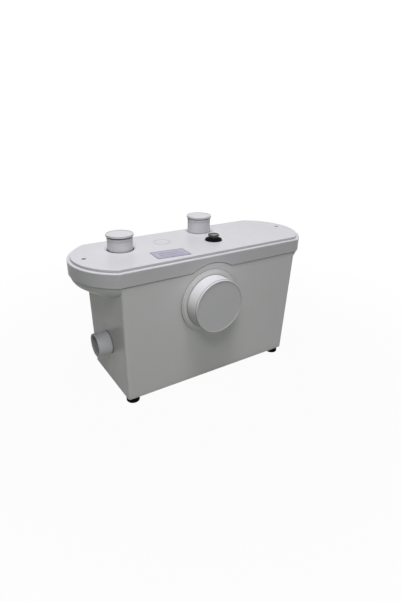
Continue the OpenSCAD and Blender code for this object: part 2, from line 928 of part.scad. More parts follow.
module right_inlet_seal() {
    color("#e9e9e7") translate([right_tube_at[0], right_tube_at[1], z_top]) rotate_extrude() {
        polygon([
            [tube_slim_r + fit, 0], [tube_r + seal_ring_w, 0],
            [tube_r + seal_ring_lip_w, seal_ring_lip_h], [tube_slim_r + fit, seal_ring_h]
        ]);
    }
}

module right_inlet_plug() {
    color("#ececea") inlet_plug(right_tube_at, z_right_tube);
}

module right_plug_seal() {
    color("#a9aaa8") plug_seal(right_tube_at, z_right_tube);
}

// Rings that hold both tubes under the lid's plate
module inlet_lock_rings() {
    color("#c9cac8") for (p = [[left_tube_at, left_flange_r], [right_tube_at, right_flange_r]]) {
        translate([p[0][0], p[0][1], z_under - tube_flange_t]) tube(p[1], tube_slim_r + fit, tube_flange_t);
    }
}

// Vent

module vent_base() {
    color("#141414") translate([vent_at[0], vent_at[1], z_top]) difference() {
        union() {
            soft_disc(vent_base_r, vent_skirt_h, vent_base_edge);
            soft_disc(vent_base_r - vent_base_step, vent_base_h, vent_base_edge);
        }
        translate([0, 0, -cut]) cylinder(r = vent_neck_r + fit, h = vent_base_h + 2 * cut);
    }
}

module vent_body() {
    color("#1c1c1c") translate([vent_at[0], vent_at[1], 0]) difference() {
        union() {
            translate([0, 0, z_vent_body]) cylinder(r = vent_neck_r, h = z_vent_seat - z_vent_body);
            translate([0, 0, z_under - vent_nut_h]) cylinder(r = vent_nut_r, h = vent_nut_h, $fn = 6);
        }
        translate([0, 0, z_vent_body + vent_guide_h]) {
            cylinder(r = vent_bore_r, h = z_vent_seat - z_vent_body);
        }
        translate([0, 0, z_vent_body - cut]) {
            cylinder(r = vent_stem_r + run_gap, h = vent_guide_h + 2 * cut);
            for (a = [0 : 90 : 359]) rotate(a) translate([vent_stem_r + vent_hole_out, 0, 0]) {
                cylinder(r = vent_hole_r, h = vent_guide_h + 2 * cut);
            }
        }
    }
}

// A mushroom cap whose stem is caught by a clip under the guide
module vent_cap() {
    z_clip = z_vent_body - vent_lift - clip_play;
    color("#7d7f80") translate([vent_at[0], vent_at[1], 0]) {
        translate([0, 0, z_vent_seat + slide_gap]) difference() {
            soft_disc(vent_cap_r, vent_cap_h, vent_cap_edge);
            translate([0, 0, vent_cap_h - vent_cap_dish]) cylinder(r = vent_cap_r - vent_cap_lip, h = cut);
        }
        translate([0, 0, z_clip]) cylinder(r = vent_stem_r, h = z_vent_seat - z_clip + cut);
        translate([0, 0, z_clip - clip_h]) cylinder(r = vent_stem_r + clip_lip, h = clip_h);
    }
}

module vent_filter() {
    color("#3a3b3a") translate([vent_at[0], vent_at[1], z_vent_body - filter_h]) difference() {
        cylinder(r = filter_r, h = filter_h + filter_socket);
        translate([0, 0, filter_h - filter_socket]) cylinder(r = vent_bore_r + cut, h = filter_socket + cut);
        translate([0, 0, filter_h]) cylinder(r = vent_neck_r + fit, h = filter_socket + cut);
        for (a = [0 : 60 : 359]) rotate(a) translate([filter_r - filter_hole_inset, 0, -cut]) {
            cylinder(r = filter_hole_r, h = filter_h / 2);
        }
    }
}

// Outlet and valve

module outlet_spigot() {
    color("#d4d5d6") difference() {
        union() {
            on_outlet(x_out_end) cylinder(r = out_r, h = x_out_wall - x_out_end);
            on_outlet(x_out_wall - cut) cylinder(r = out_slim_r, h = x_valve - x_out_wall + cut);
        }
        on_outlet(x_out_end - cut) cylinder(r = out_bore_r, h = x_valve - x_out_end + 2 * cut);
    }
}

module outlet_flange() {
    color("#d4d5d6") on_outlet(x_flange) tube(out_flange_r, out_slim_r + fit, out_flange_t);
}

module outlet_gasket() {
    color("#2a2a2a") on_outlet(x_gasket) tube(out_flange_r, out_slim_r + fit, out_gasket_t);
}

module valve_body() {
    color("#b9bbbd") difference() {
        on_outlet(x_valve) tube(valve_r, chamber_r, valve_l);
        on_pin(-valve_r) cylinder(r = flap_pin_r + run_gap, h = 2 * valve_r);
    }
}

module valve_seat() {
    color("#a9abad") difference() {
        union() {
            on_outlet(x_seat) cylinder(r = valve_r, h = seat_t);
            on_outlet(x_tail - cut) cylinder(r = tail_r, h = tail_l + cut);
        }
        on_outlet(x_seat - cut) cylinder(r = tail_bore_r, h = tail_gap + seat_t);
    }
}

module valve_flap() {
    x_flap = x_seat - slide_gap - flap_t;
    color("#3a3a3a") difference() {
        union() {
            on_outlet(x_flap) cylinder(r = flap_r, h = flap_t);
            on_pin(-flap_knuckle_l / 2) cylinder(r = flap_knuckle_r, h = flap_knuckle_l);
            translate([x_flap, out_y - flap_arm_w / 2, out_z + flap_r / 2]) {
                cube([flap_t, flap_arm_w, flap_pin_h - flap_r / 2]);
            }
        }
        on_pin(-flap_knuckle_l) cylinder(r = flap_pin_r + run_gap, h = 2 * flap_knuckle_l);
    }
}

module valve_pin() {
    color("#c8cacc") on_pin(-flap_pin_l / 2) cylinder(r = flap_pin_r, h = flap_pin_l);
}

module outlet_sleeve() {
    color("#262626") on_outlet(x_tail + fit) {
        tube(tail_r + fit + sleeve_wall, tail_r + fit, tail_gap - 2 * fit);
    }
}

module hose_clamps() {
    band_r = tail_r + 2 * fit + sleeve_wall;
    color("#b4b6b8") for (x = [x_tail + clamp_in, x_casing_back - clamp_in - clamp_w]) on_outlet(x) {
        tube(band_r + clamp_t, band_r, clamp_w);
        translate([band_r, -clamp_box_w / 2, 0]) difference() {
            translate([clamp_t / 2, 0, 0]) cube([clamp_box_h, clamp_box_w, clamp_w]);
            translate([clamp_screw_h, -cut, clamp_w / 2]) rotate([-90, 0, 0]) {
                cylinder(r = clamp_screw_r, h = clamp_box_w + 2 * cut);
            }
        }
    }
}

// Grinder pump

// The volute's outline in the YZ plane: a spiral that grows into the outlet's throat
module volute_outline(wall_out) {
    translate([shaft_y, shaft_z]) {
        polygon([
            for (i = [0 : volute_steps])
                let (a = throat_angle + volute_start + 360 * i / volute_steps)
                let (grow = (throat_reach + throat_r - volute_r) * i / volute_steps)
                let (r = volute_r + grow + wall_out)
                r * [cos(a), sin(a)]
        ]);
        translate(throat) circle(throat_r + wall_out);
    }
}

module pump_casing() {
    color("#5d6064") difference() {
        union() {
            run_x(x_casing_back, casing_l) volute_outline(casing_wall);
            on_outlet(x_casing_back - tail_l) cylinder(r = tail_r, h = tail_l + cut);
            translate([x_casing_back, shaft_y - casing_foot_w / 2, z_floor]) {
                cube([casing_l, casing_foot_w, shaft_h - volute_r]);
            }
        }
        run_x(x_casing_back + casing_wall, casing_l) volute_outline(0);
        on_outlet(x_casing_back - tail_l - cut) cylinder(r = tail_bore_r, h = tail_l + casing_wall + 2 * cut);
    }
}

module pump_cover() {
    color("#6a6d71") difference() {
        run_x(x_casing, cover_t) volute_outline(casing_wall);
        on_shaft(x_casing - cut) cylinder(r = eye_r, h = cover_t + 2 * cut);
    }
}

// Plan of one vane: a piece of a ring that leans back from the hub to the rim
module impeller_vane() {
    intersection() {
        translate([hub_r - vane_root, vane_r]) difference() {
            circle(vane_r);
            circle(vane_r - vane_t);
        }
        translate([hub_r - vane_t, -hub_r / 2]) square([impeller_r, impeller_r]);
        circle(impeller_r - cut);
    }
}

// An open impeller with backward-curved vanes
module impeller() {
    color("#8d9094") on_shaft(x_impeller) difference() {
        union() {
            cylinder(r = impeller_r, h = shroud_t);
            cylinder(r = hub_r, h = impeller_l);
            for (a = [0 : 60 : 359]) rotate(a) translate([0, 0, shroud_t - cut]) {
                linear_extrude(impeller_l - shroud_t) impeller_vane();
            }
        }
        translate([0, 0, -cut]) cylinder(r = shaft_r + run_gap, h = impeller_l + 2 * cut);
    }
}

module impeller_nut() {
    color("#c8cacc") on_shaft(x_impeller + impeller_l) difference() {
        cylinder(r = nut_r, h = nut_l, $fn = 6);
        translate([0, 0, -cut]) cylinder(r = shaft_r + run_gap, h = nut_l + 2 * cut);
    }
}

// The basket's section: a round floor, a straight back and a sloping apron under the toilet inlet
function apron_normal() = let (
    v = [basket_front - shaft_y, basket_top - shaft_z],
    a = atan2(v[1], v[0]) + acos(basket_r / norm(v))
) [cos(a), sin(a)];

module basket_outline(inset, top) {
    n = apron_normal();
    start = 360 + atan2(n[1], n[0]);
    r = basket_r - inset;
    lip = [basket_front, basket_top] - inset * n;
    along = [-n[1], n[0]];
    lip_up = lip + (top - lip[1]) / along[1] * along;
    round_floor = [
        for (i = [0 : basket_steps]) let (a = start + (360 - start) * i / basket_steps)
            [shaft_y + r * cos(a), shaft_z + r * sin(a)]
    ];
    polygon(concat([lip_up], round_floor, [[shaft_y + r, top]]));
}

module grinding_basket() {
    n = apron_normal();
    apron_angle = atan2(n[1], n[0]);
    pitch = basket_l / drain_rows;
    hole_l = basket_l + 2 * plate_t + 2 * cut;
    color("#c4c6c8") difference() {
        union() {
            run_x(x_basket_l, basket_l) difference() {
                basket_outline(0, basket_top);
                basket_outline(basket_t, basket_top + cut);
            }
            for (x = [x_basket_l - plate_t, x_basket_r]) run_x(x, plate_t) {
                polygon([
                    [basket_front, basket_top], [shaft_y + basket_r, basket_top],
                    [shaft_y + basket_r, z_floor], [shaft_y - basket_r, z_floor]
                ]);
            }
        }
        on_shaft(x_basket_l - plate_t - cut) cylinder(r = shaft_r + shaft_clear, h = hole_l);
        for (i = [0 : drain_rows - 1], a = [apron_angle + drain_step / 2 : drain_step : -drain_step / 4]) {
            translate([x_basket_l + pitch * (i + 0.5), shaft_y, shaft_z]) rotate([a - 90, 0, 0]) {
                translate([0, 0, basket_r / 2]) cylinder(r = drain_r, h = basket_r);
            }
        }
    }
}

// Two crossed knife bars on one hub
module cutter() {
    heel = knife_w / 2 + knife_heel;
    belly = knife_w / 2 + knife_belly;
    color("#b9bcc0") on_shaft(wc_x - hub_l / 2) difference() {
        union() {
            cylinder(r = hub_r, h = hub_l);
            for (i = [0, 1]) translate([0, 0, knife_in + knife_pitch * i]) rotate(90 * i) {
                linear_extrude(knife_t) polygon([
                    [-cutter_r, -knife_w / 2], [0, -belly], [cutter_r - knife_tip, -heel],
                    [cutter_r, knife_w / 2], [0, belly], [knife_tip - cutter_r, heel]
                ]);
            }
        }
        translate([0, 0, -cut]) cylinder(r = shaft_r + run_gap, h = hub_l + 2 * cut);
    }
}

module motor_shaft() {
    color("#cfd1d3") on_shaft(x_impeller - nut_gap) {
        cylinder(r = shaft_r, h = x_shaft_end - x_impeller + nut_gap);
    }
}

module rotor_core() {
    color("#8f8f92") on_shaft(x_core) tube(rotor_r, shaft_r + run_gap, core_l);
}

// Open slots that hold the windings
module stator_slots(gap, length) {
    for (i = [0 : slots - 1]) rotate(360 * i / slots) {
        translate([slot_in_r - gap, -slot_w / 2 - gap, 0]) {
            cube([slot_depth + 2 * gap, slot_w + 2 * gap, length]);
        }
    }
}

module stator_core() {
    color("#77797c") on_shaft(x_core) difference() {
        tube(can_bore_r - fit, rotor_r + air_gap, core_l);
        translate([0, 0, -cut]) stator_slots(fit, core_l + 2 * cut);
    }
}

module stator_windings() {
    color("#b06a3a") on_shaft(x_core) {
        translate([0, 0, -2 * fit]) stator_slots(0, core_l + 4 * fit);
        for (z = [-end_turn_l, core_l + fit]) translate([0, 0, z]) {
            tube(slot_in_r + slot_depth, slot_in_r, end_turn_l - fit);
        }
    }
}

module motor_can() {
    color("#4b4f54") difference() {
        union() {
            on_shaft(x_can) cylinder(r = motor_r, h = motor_l);
            translate([lead_start[0], lead_start[1], shaft_z + can_bore_r]) {
                cylinder(r = lead_boss_r, h = can_wall + lead_boss_h);
            }
        }
        on_shaft(x_can - cut) cylinder(r = can_bore_r, h = motor_l + 2 * cut);
    }
}

module motor_front_bracket() {
    color("#7c8084") difference() {
        union() {
            on_shaft(x_bracket) cylinder(r = bearing_r + bracket_neck_wall, h = bracket_neck_l + cut);
            on_shaft(x_can - bracket_flange_t) cylinder(r = motor_r, h = bracket_flange_t);
            on_shaft(x_can - cut) tube(can_bore_r - fit, can_bore_r - fit - lip_t, lip_l + cut);
        }
        on_shaft(x_bracket - cut) cylinder(r = shaft_r + shaft_clear, h = x_can - x_bracket + 2 * cut);
        on_shaft(x_bracket - cut) cylinder(r = seal_r, h = seal_w + cut);
        on_shaft(x_can - bearing_w) cylinder(r = bearing_r, h = bearing_w + cut);
    }
}

module motor_end_cover() {
    boss_l = x_can_end - x_rear_bearing;
    color("#7c8084") difference() {
        union() {
            on_shaft(x_can_end) cylinder(r = motor_r, h = end_cover_t);
            on_shaft(x_can_end - lip_l) tube(can_bore_r - fit, can_bore_r - fit - lip_t, lip_l + cut);
            on_shaft(x_rear_bearing) cylinder(r = bearing_r + end_boss_wall, h = boss_l + cut);
        }
        on_shaft(x_rear_bearing - cut) cylinder(r = bearing_r, h = bearing_w + cut);
        on_shaft(x_rear_bearing) cylinder(r = shaft_r + shaft_relief, h = bearing_w + relief_l);
    }
}

// A sealed ball bearing, drawn as its ring with two shield grooves
module bearing() {
    difference() {
        tube(bearing_r - fit, shaft_r + run_gap, bearing_w);
        for (z = [-cut, bearing_w - shield_depth]) translate([0, 0, z]) {
            tube(bearing_r - shield_in, shaft_r + shield_in, cut + shield_depth);
        }
    }
}

module front_bearing() {
    color("#c3c6c9") on_shaft(x_can - bearing_w) bearing();
}

module rear_bearing() {
    color("#c3c6c9") on_shaft(x_rear_bearing) bearing();
}

module shaft_seal() {
    color("#303030") on_shaft(x_bracket) tube(seal_r - fit, shaft_r + run_gap, seal_w);
}

module motor_saddles() {
    saddle_h = shaft_h - motor_r / 2;
    color("#35373a") for (x = [x_can + saddle_in, x_can_end - saddle_in - saddle_l]) difference() {
        translate([x, shaft_y - saddle_w / 2, z_floor]) cube([saddle_l, saddle_w, saddle_h]);
        on_shaft(x - cut) cylinder(r = motor_r + fit, h = saddle_l + 2 * cut);
    }
}

// Level switch

module pressure_bell() {
    z_cup = z_switch - diaphragm_t - bell_cup_h;
    z_foot = z_floor + bell_foot;
    color("#b7b9bb") translate([switch_at[0], switch_at[1], 0]) difference() {
        union() {
            translate([0, 0, z_cup]) cylinder(r = switch_r, h = bell_cup_h);
            translate([0, 0, z_foot]) cylinder(r = bell_r, h = z_cup - z_foot + cut);
        }
        translate([0, 0, z_cup + cup_wall]) cylinder(r = switch_r - cup_wall, h = bell_cup_h);
        translate([0, 0, z_foot - cut]) {
            cylinder(r = bell_r - bell_wall, h = z_cup - z_foot + cup_wall + 2 * cut);
            for (a = [0, 90]) rotate(a) translate([-bell_r - cut, -bell_slot_w / 2, 0]) {
                cube([2 * bell_r + 2 * cut, bell_slot_w, bell_slot_h + cut]);
            }
        }
    }
}

// A cup with a bar across it that guides the plunger's stem
module switch_housing() {
    color("#9fa2a4") translate([switch_at[0], switch_at[1], z_switch]) {
        difference() {
            cylinder(r = switch_r, h = switch_h);
            translate([0, 0, -cut]) cylinder(r = switch_r - cup_wall, h = switch_h - cup_wall + cut);
        }
        difference() {
            translate([cup_wall / 2 - switch_r, -guide_w / 2, guide_z]) {
                cube([2 * switch_r - cup_wall, guide_w, guide_t]);
            }
            cylinder(r = plunger_stem_r + run_gap, h = switch_h);
        }
    }
}

module switch_diaphragm() {
    color("#2b2b2b") translate([switch_at[0], switch_at[1], z_switch - diaphragm_t]) {
        cylinder(r = switch_r, h = diaphragm_t);
    }
}

module switch_plunger() {
    color("#d8d2c0") translate([switch_at[0], switch_at[1], z_switch + slide_gap]) {
        cylinder(r = plunger_r, h = plunger_t);
        cylinder(r = plunger_stem_r, h = plunger_h);
    }
}

module micro_switch() {
    z_body = z_switch + plunger_h + switch_travel + 2 * slide_gap;
    color("#232628") translate([switch_at[0] - micro_l / 2, switch_at[1] - micro_w / 2, z_body]) {
        cube([micro_l, micro_w, z_under - cup_wall - z_body]);
    }
}

// Terminal box

module terminal_box() {
    color("#8b8f92") translate([box_at[0], box_at[1], z_under - box_size[2]]) difference() {
        cube(box_size);
        translate([box_wall, box_wall, -cut]) {
            cube([box_inner_l, box_inner_w, box_size[2] - box_wall + cut]);
        }
    }
}

module terminal_cover() {
    lip = [box_inner_l - 2 * fit, box_inner_w - 2 * fit];
    color("#84888b") translate([box_at[0], box_at[1], z_under - box_size[2] - box_wall]) {
        cube([box_size[0], box_size[1], box_wall]);
        translate([box_wall + fit, box_wall + fit, box_wall - disc_h]) difference() {
            cube([lip[0], lip[1], cover_lip_h]);
            translate([cover_lip_t, cover_lip_t, -cut]) {
                cube([lip[0] - 2 * cover_lip_t, lip[1] - 2 * cover_lip_t, cover_lip_h + 2 * cut]);
            }
        }
    }
}

module run_capacitor() {
    x = box_at[0] + (box_size[0] - capacitor_l) / 2;
    y = box_at[1] + box_size[1] - box_wall - capacitor_r - capacitor_gap;
    color("#d7d8da") translate([x, y, z_under - box_wall - capacitor_r - fit]) rotate([0, 90, 0]) {
        cylinder(r = capacitor_r, h = capacitor_l);
        translate([0, 0, capacitor_l - cut]) {
            cylinder(r = capacitor_r - capacitor_gap, h = capacitor_cap + cut);
        }
    }
}

module terminal_strip() {
    x = box_at[0] + (box_size[0] - strip[0]) / 2;
    y = box_at[1] + box_wall + strip_gap;
    color("#e8e4d6") translate([x, y, z_under - box_wall - strip[2]]) difference() {
        cube(strip);
        for (i = [0 : 4], row = strip_rows) translate([strip_margin + strip_pitch * i, row, -cut]) {
            cylinder(r = strip_screw_r, h = strip_screw_depth + cut);
        }
    }
}

// A flexible lead that bows gently from the motor up to the terminal box
function lead_point(t) = let (s = t * t * (3 - 2 * t)) [
    lead_start[0] + (lead_end[0] - lead_start[0]) * s,
    lead_start[1] + (lead_end[1] - lead_start[1]) * s,
    lead_start[2] + (lead_end[2] - lead_start[2]) * t
];

module motor_lead() {
    turn = 360 / lead_sides;
    rings = [
        for (k = [0 : lead_rings]) for (j = [0 : lead_sides - 1])
            lead_point(k / lead_rings) + lead_r * [cos(turn * j), sin(turn * j), 0]
    ];
    sides = [
        for (k = [0 : lead_rings - 1]) for (j = [0 : lead_sides - 1])
            let (a = k * lead_sides + j, b = k * lead_sides + (j + 1) % lead_sides)
            each [[a, b + lead_sides, b], [a, a + lead_sides, b + lead_sides]]
    ];
    foot = [for (j = [0 : lead_sides - 1]) j];
    head = [for (j = [lead_sides - 1 : -1 : 0]) lead_rings * lead_sides + j];
    color("#1d1d1f") polyhedron(rings, concat(sides, [foot, head]));
}

module supply_gland() {
    stem_y = gland_inner_y - gland_stem_l;
    color("#1b1b1b") difference() {
        union() {
            on_gland(gland_inner_y - gland_nut_t) cylinder(r = gland_hex_r, h = gland_nut_t, $fn = 6);
            on_gland(stem_y) cylinder(r = gland_r, h = gland_pad_y - stem_y + cut);
            on_gland(gland_pad_y) cylinder(r = gland_hex_r, h = gland_flange_t, $fn = 6);
            on_gland(gland_end_y - gland_dome_h - cut) {
                soft_disc(gland_dome_r, gland_dome_h + cut, gland_edge);
            }
        }
        on_gland(stem_y - cut) cylinder(r = gland_bore_r, h = gland_end_y - stem_y + 2 * cut);
    }
}

translate([0, -middle_y, 0]) {
    tank();
    rubber_feet();
    lid();
    lid_gasket();
    lid_screws();
    wc_inlet_spigot();
    wc_inlet_flange();
    wc_inlet_gasket();
    wc_inlet_nut();
    wc_inlet_plug();
    left_inlet_tube();
    left_inlet_plug();
    left_plug_seal();
    right_inlet_tube();
    right_inlet_seal();
    right_inlet_plug();
    right_plug_seal();
    inlet_lock_rings();
    vent_base();
    vent_body();
    vent_cap();
    vent_filter();
    outlet_spigot();
    outlet_flange();
    outlet_gasket();
    valve_body();
    valve_seat();
    valve_flap();
    valve_pin();
    outlet_sleeve();
    hose_clamps();
    pump_casing();
    pump_cover();
    impeller();
    impeller_nut();
    grinding_basket();
    cutter();
    motor_shaft();
    rotor_core();
    stator_core();
    stator_windings();
    motor_can();
    motor_front_bracket();
    motor_end_cover();
    front_bearing();
    rear_bearing();
    shaft_seal();
    motor_saddles();
    pressure_bell();
    switch_housing();
    switch_diaphragm();
    switch_plunger();
    micro_switch();
    terminal_box();
    terminal_cover();
    run_capacitor();
    terminal_strip();
    motor_lead();
    supply_gland();
}
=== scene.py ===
"""Looks of a macerator toilet pump: its materials, a bare rating plate, the studio and the camera."""
import json
import math

import bmesh
import bpy
from mathutils import Matrix, Vector


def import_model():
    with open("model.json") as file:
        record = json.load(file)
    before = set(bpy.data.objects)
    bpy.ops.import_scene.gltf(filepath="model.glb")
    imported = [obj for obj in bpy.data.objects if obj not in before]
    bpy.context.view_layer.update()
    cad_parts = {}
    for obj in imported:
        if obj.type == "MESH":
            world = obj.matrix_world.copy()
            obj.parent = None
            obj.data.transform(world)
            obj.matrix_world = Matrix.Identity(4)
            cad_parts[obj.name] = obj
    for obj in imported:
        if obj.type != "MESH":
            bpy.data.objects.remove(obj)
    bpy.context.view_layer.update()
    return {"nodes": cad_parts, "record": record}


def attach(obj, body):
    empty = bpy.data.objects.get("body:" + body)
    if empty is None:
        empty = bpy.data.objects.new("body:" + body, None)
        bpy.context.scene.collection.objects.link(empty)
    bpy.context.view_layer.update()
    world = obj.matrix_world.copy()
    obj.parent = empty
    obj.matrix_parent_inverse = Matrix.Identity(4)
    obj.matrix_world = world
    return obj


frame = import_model()
nodes = frame["nodes"]
scene = bpy.context.scene
scene.view_settings.view_transform = "Standard"

# Material helpers


class Tree:
    """A material's node tree, with short calls for the nodes used here."""

    def __init__(self, name):
        self.material = bpy.data.materials.new(name)
        self.material.use_nodes = True
        self.nodes = self.material.node_tree.nodes
        self.links = self.material.node_tree.links
        self.nodes.clear()
        self.out = self.add("ShaderNodeOutputMaterial")
        self.place = self.add("ShaderNodeTexCoord").outputs["Object"]

    def add(self, kind, **values):
        node = self.nodes.new(kind)
        for key, value in values.items():
            setattr(node, key, value)
        return node

    def join(self, source, target):
        self.links.new(source, target)

    def surface(self, colour, roughness, normal, **constants):
        """Ends the tree in a surface shader, with the constants on its own sockets."""
        shader = self.add("ShaderNodeBsdfPrincipled")
        for key, value in constants.items():
            shader.inputs[key.replace("_", " ")].default_value = value
        for key, source in (("Base Color", colour), ("Roughness", roughness), ("Normal", normal)):
            self.join(source, shader.inputs[key])
        self.join(shader.outputs[0], self.out.inputs["Surface"])
        return self.material

    def stretch(self, scale):
        """Object coordinates drawn out along some axes."""
        node = self.add("ShaderNodeMapping")
        node.inputs["Scale"].default_value = scale
        self.join(self.place, node.inputs["Vector"])
        return node.outputs[0]

    def noise(self, scale, detail=2.0, rough=0.5, place=None):
        node = self.add("ShaderNodeTexNoise")
        node.inputs["Scale"].default_value = scale
        node.inputs["Detail"].default_value = detail
        node.inputs["Roughness"].default_value = rough
        self.join(place or self.place, node.inputs["Vector"])
        return node.outputs["Fac"]

    def cells(self, scale):
        node = self.add("ShaderNodeTexVoronoi")
        node.inputs["Scale"].default_value = scale
        self.join(self.place, node.inputs["Vector"])
        return node.outputs["Distance"]

    def waves(self, scale, distort, kind):
        """Bands across the shaft or rings round it; the shaft lies along X."""
        node = self.add("ShaderNodeTexWave", wave_type=kind, bands_direction="X", rings_direction="X")
        node.inputs["Scale"].default_value = scale
        node.inputs["Distortion"].default_value = distort
        self.join(self.place, node.inputs["Vector"])
        return node.outputs["Fac"]

    def ramp(self, source, stops):
        """Colours along a value: stops are (place, (r, g, b))."""
        node = self.add("ShaderNodeValToRGB")
        points = node.color_ramp.elements
        while len(points) < len(stops):
            points.new(0.5)
        for point, (at, rgb) in zip(points, stops):
            point.position = at
            point.color = (*rgb, 1.0)
        self.join(source, node.inputs["Fac"])
        return node.outputs["Color"]

    def span(self, source, low, high, start=0.3, end=0.7):
        """A value spread between two limits, as it goes from start to end."""
        node = self.add("ShaderNodeMapRange")
        limits = {"From Min": start, "From Max": end, "To Min": low, "To Max": high}
        for key, value in limits.items():
            node.inputs[key].default_value = value
        self.join(source, node.inputs["Value"])
        return node.outputs["Result"]

    def math(self, operation, a, b=0.0):
        node = self.add("ShaderNodeMath", operation=operation)
        for socket, value in zip(node.inputs, (a, b)):
            if isinstance(value, (int, float)):
                socket.default_value = value
            else:
                self.join(value, socket)
        return node.outputs[0]

    def mix(self, factor, a, b):
        """Two colours mixed by a value; either may be plain."""
        node = self.add("ShaderNodeMix", data_type="RGBA")
        # The node's colour sockets come after those for plain values and vectors
        for socket, value in ((node.inputs[6], a), (node.inputs[7], b)):
            if isinstance(value, tuple):
                socket.default_value = (*value, 1.0)
            else:
                self.join(value, socket)
        self.join(factor, node.inputs[0])
        return node.outputs[2]

    def tint(self, colour, mask, share, target):
        """A colour drawn towards another where a mask is one, by the given share."""
        return self.mix(self.math("MULTIPLY", mask, share), colour, target)

    def bump(self, source, height, strength, normal=None):
        """A surface normal that follows a relief, on top of another normal if one is given."""
        node = self.add("ShaderNodeBump")
        node.inputs["Strength"].default_value = strength
        node.inputs["Distance"].default_value = height
        self.join(source, node.inputs["Height"])
        if normal is not None:
            self.join(normal, node.inputs["Normal"])
        return node.outputs["Normal"]

    def soft_edges(self, radius):
        """A surface normal that is rounded off near edges."""
        node = self.add("ShaderNodeBevel", samples=4)
        node.inputs["Radius"].default_value = radius
        return node.outputs["Normal"]

    def crease(self, reach, own=False):
        """One deep in a crease and nought in the open; own leaves out what other pieces hide."""
        node = self.add("ShaderNodeAmbientOcclusion", samples=8, only_local=own)
        node.inputs["Distance"].default_value = reach
        return self.span(node.outputs["AO"], 1.0, 0.0, start=0.45, end=0.95)

    def seam(self, reach):
        """One where another piece lies close, and nought in the open and in the piece's own creases."""
        return self.math("SUBTRACT", self.crease(reach), self.crease(reach, own=True))

    def edge_mask(self, soft):
        """One at an edge and nought on a plain face, from a softened normal."""
        node = self.add("ShaderNodeVectorMath", operation="DOT_PRODUCT")
        self.join(soft, node.inputs[0])
        self.join(self.add("ShaderNodeNewGeometry").outputs["Normal"], node.inputs[1])
        return self.span(node.outputs["Value"], 1.0, 0.0, start=0.86, end=0.995)


def tone(rgb, factor):
    """A colour made darker or paler, with no channel over one."""
    return tuple(min(1.0, c * factor) for c in rgb)


# Finishes: noise scales are per metre, and radii, reaches and bump heights are in metres

PLASTIC_IOR = 1.5
RUBBER_IOR = 1.25
RUBBER_GLOSS = 0.05
DUST_GAIN = 1.9
DUST_LIFT = 0.002

# Painted shade and painted highlight on moulded plastic: how far each reaches, and the factor on the
# colour where it is full
EDGE_RADIUS = 0.0003
EDGE_HIGHLIGHT_TONE = 1.25
CREASE_REACH = 0.004
CREASE_SHADE_TONE = 0.45
CREASE_SHADE_SHARE = 0.6
SEAM_REACH = 0.002
SEAM_SHADE_TONE = 0.05
CORNER_REACH = 0.03
CORNER_SHADE_TONE = 0.5
BORE_REACH = 0.04
BORE_SHADE_TONE = 0.25


def moulded(name, rgb, rough, gloss=0.5, seam_shade=0.9, edges=0.2, corners=0.0, bore_shade=0.0):
    """Moulded plastic with orange peel, a painted highlight on edges, and painted shade in creases,
    gaps, corners and bores.
    """
    t = Tree(name)
    shade = t.ramp(t.noise(7.0, detail=3.0), [(0.25, tone(rgb, 0.965)), (0.75, rgb)])
    shade = t.mix(t.span(t.noise(260.0), 0.0, 0.10, start=0.45, end=0.75), shade, tone(rgb, 0.82))
    soft = t.soft_edges(EDGE_RADIUS)
    # Painted highlight: edges drawn paler, as if they catch the light, by the share given for edges
    shade = t.tint(shade, t.edge_mask(soft), edges, tone(rgb, EDGE_HIGHLIGHT_TONE))
    # Painted shade: darker deep in creases, where less light reaches
    shade = t.tint(shade, t.crease(CREASE_REACH), CREASE_SHADE_SHARE, tone(rgb, CREASE_SHADE_TONE))
    # Painted shade: nearly black in narrow gaps next to other pieces, where little light gets in
    shade = t.tint(shade, t.seam(SEAM_REACH), seam_shade, tone(rgb, SEAM_SHADE_TONE))
    # Painted shade: darker in wide corners and near other pieces, where less light reaches
    if corners:
        shade = t.tint(shade, t.crease(CORNER_REACH), corners, tone(rgb, CORNER_SHADE_TONE))
    # Painted shade: darker deep inside the piece's own bore, where little light reaches
    if bore_shade:
        shade = t.tint(shade, t.crease(BORE_REACH, own=True), bore_shade, tone(rgb, BORE_SHADE_TONE))
    rubs = t.noise(40.0, detail=4.0, rough=0.7, place=t.stretch((1.0, 1.0, 5.0)))
    sheen = t.span(rubs, rough - 0.05, rough + 0.08)
    peel = t.bump(t.noise(950.0), height=0.00004, strength=0.5, normal=soft)
    wavy = t.bump(t.noise(16.0), height=0.0006, strength=0.35, normal=peel)
    return t.surface(shade, sheen, wavy, IOR=PLASTIC_IOR, Specular_IOR_Level=gloss)


def rubber(name, rgb, rough=0.5):
    """Moulded rubber: dusty bloom, a pebbled skin and a soft gloss."""
    t = Tree(name)
    dust = t.noise(120.0, detail=4.0, rough=0.65)
    bloom = tuple(c * DUST_GAIN + DUST_LIFT for c in rgb)
    shade = t.ramp(dust, [(0.35, rgb), (0.8, bloom)])
    sheen = t.span(dust, rough - 0.08, rough + 0.15)
    pebble = t.bump(t.cells(1400.0), height=0.00006, strength=0.5, normal=t.soft_edges(0.0004))
    return t.surface(shade, sheen, pebble, IOR=RUBBER_IOR, Specular_IOR_Level=RUBBER_GLOSS)


def machined(name, rgb, rough, stretch):
    """Machined or drawn steel: fine lines along the cut, with a changing sheen."""
    t = Tree(name)
    lines = t.noise(500.0, detail=3.0, rough=0.6, place=t.stretch(stretch))
    shade = t.ramp(lines, [(0.3, tone(rgb, 0.78)), (0.7, rgb)])
    shade = t.mix(t.span(t.noise(30.0, detail=3.0), 0.0, 0.35), shade, tone(rgb, 0.7))
    sheen = t.span(lines, rough - 0.08, rough + 0.12)
    scored = t.bump(lines, height=0.00003, strength=0.6, normal=t.soft_edges(0.0003))
    return t.surface(shade, sheen, scored, Metallic=1.0)


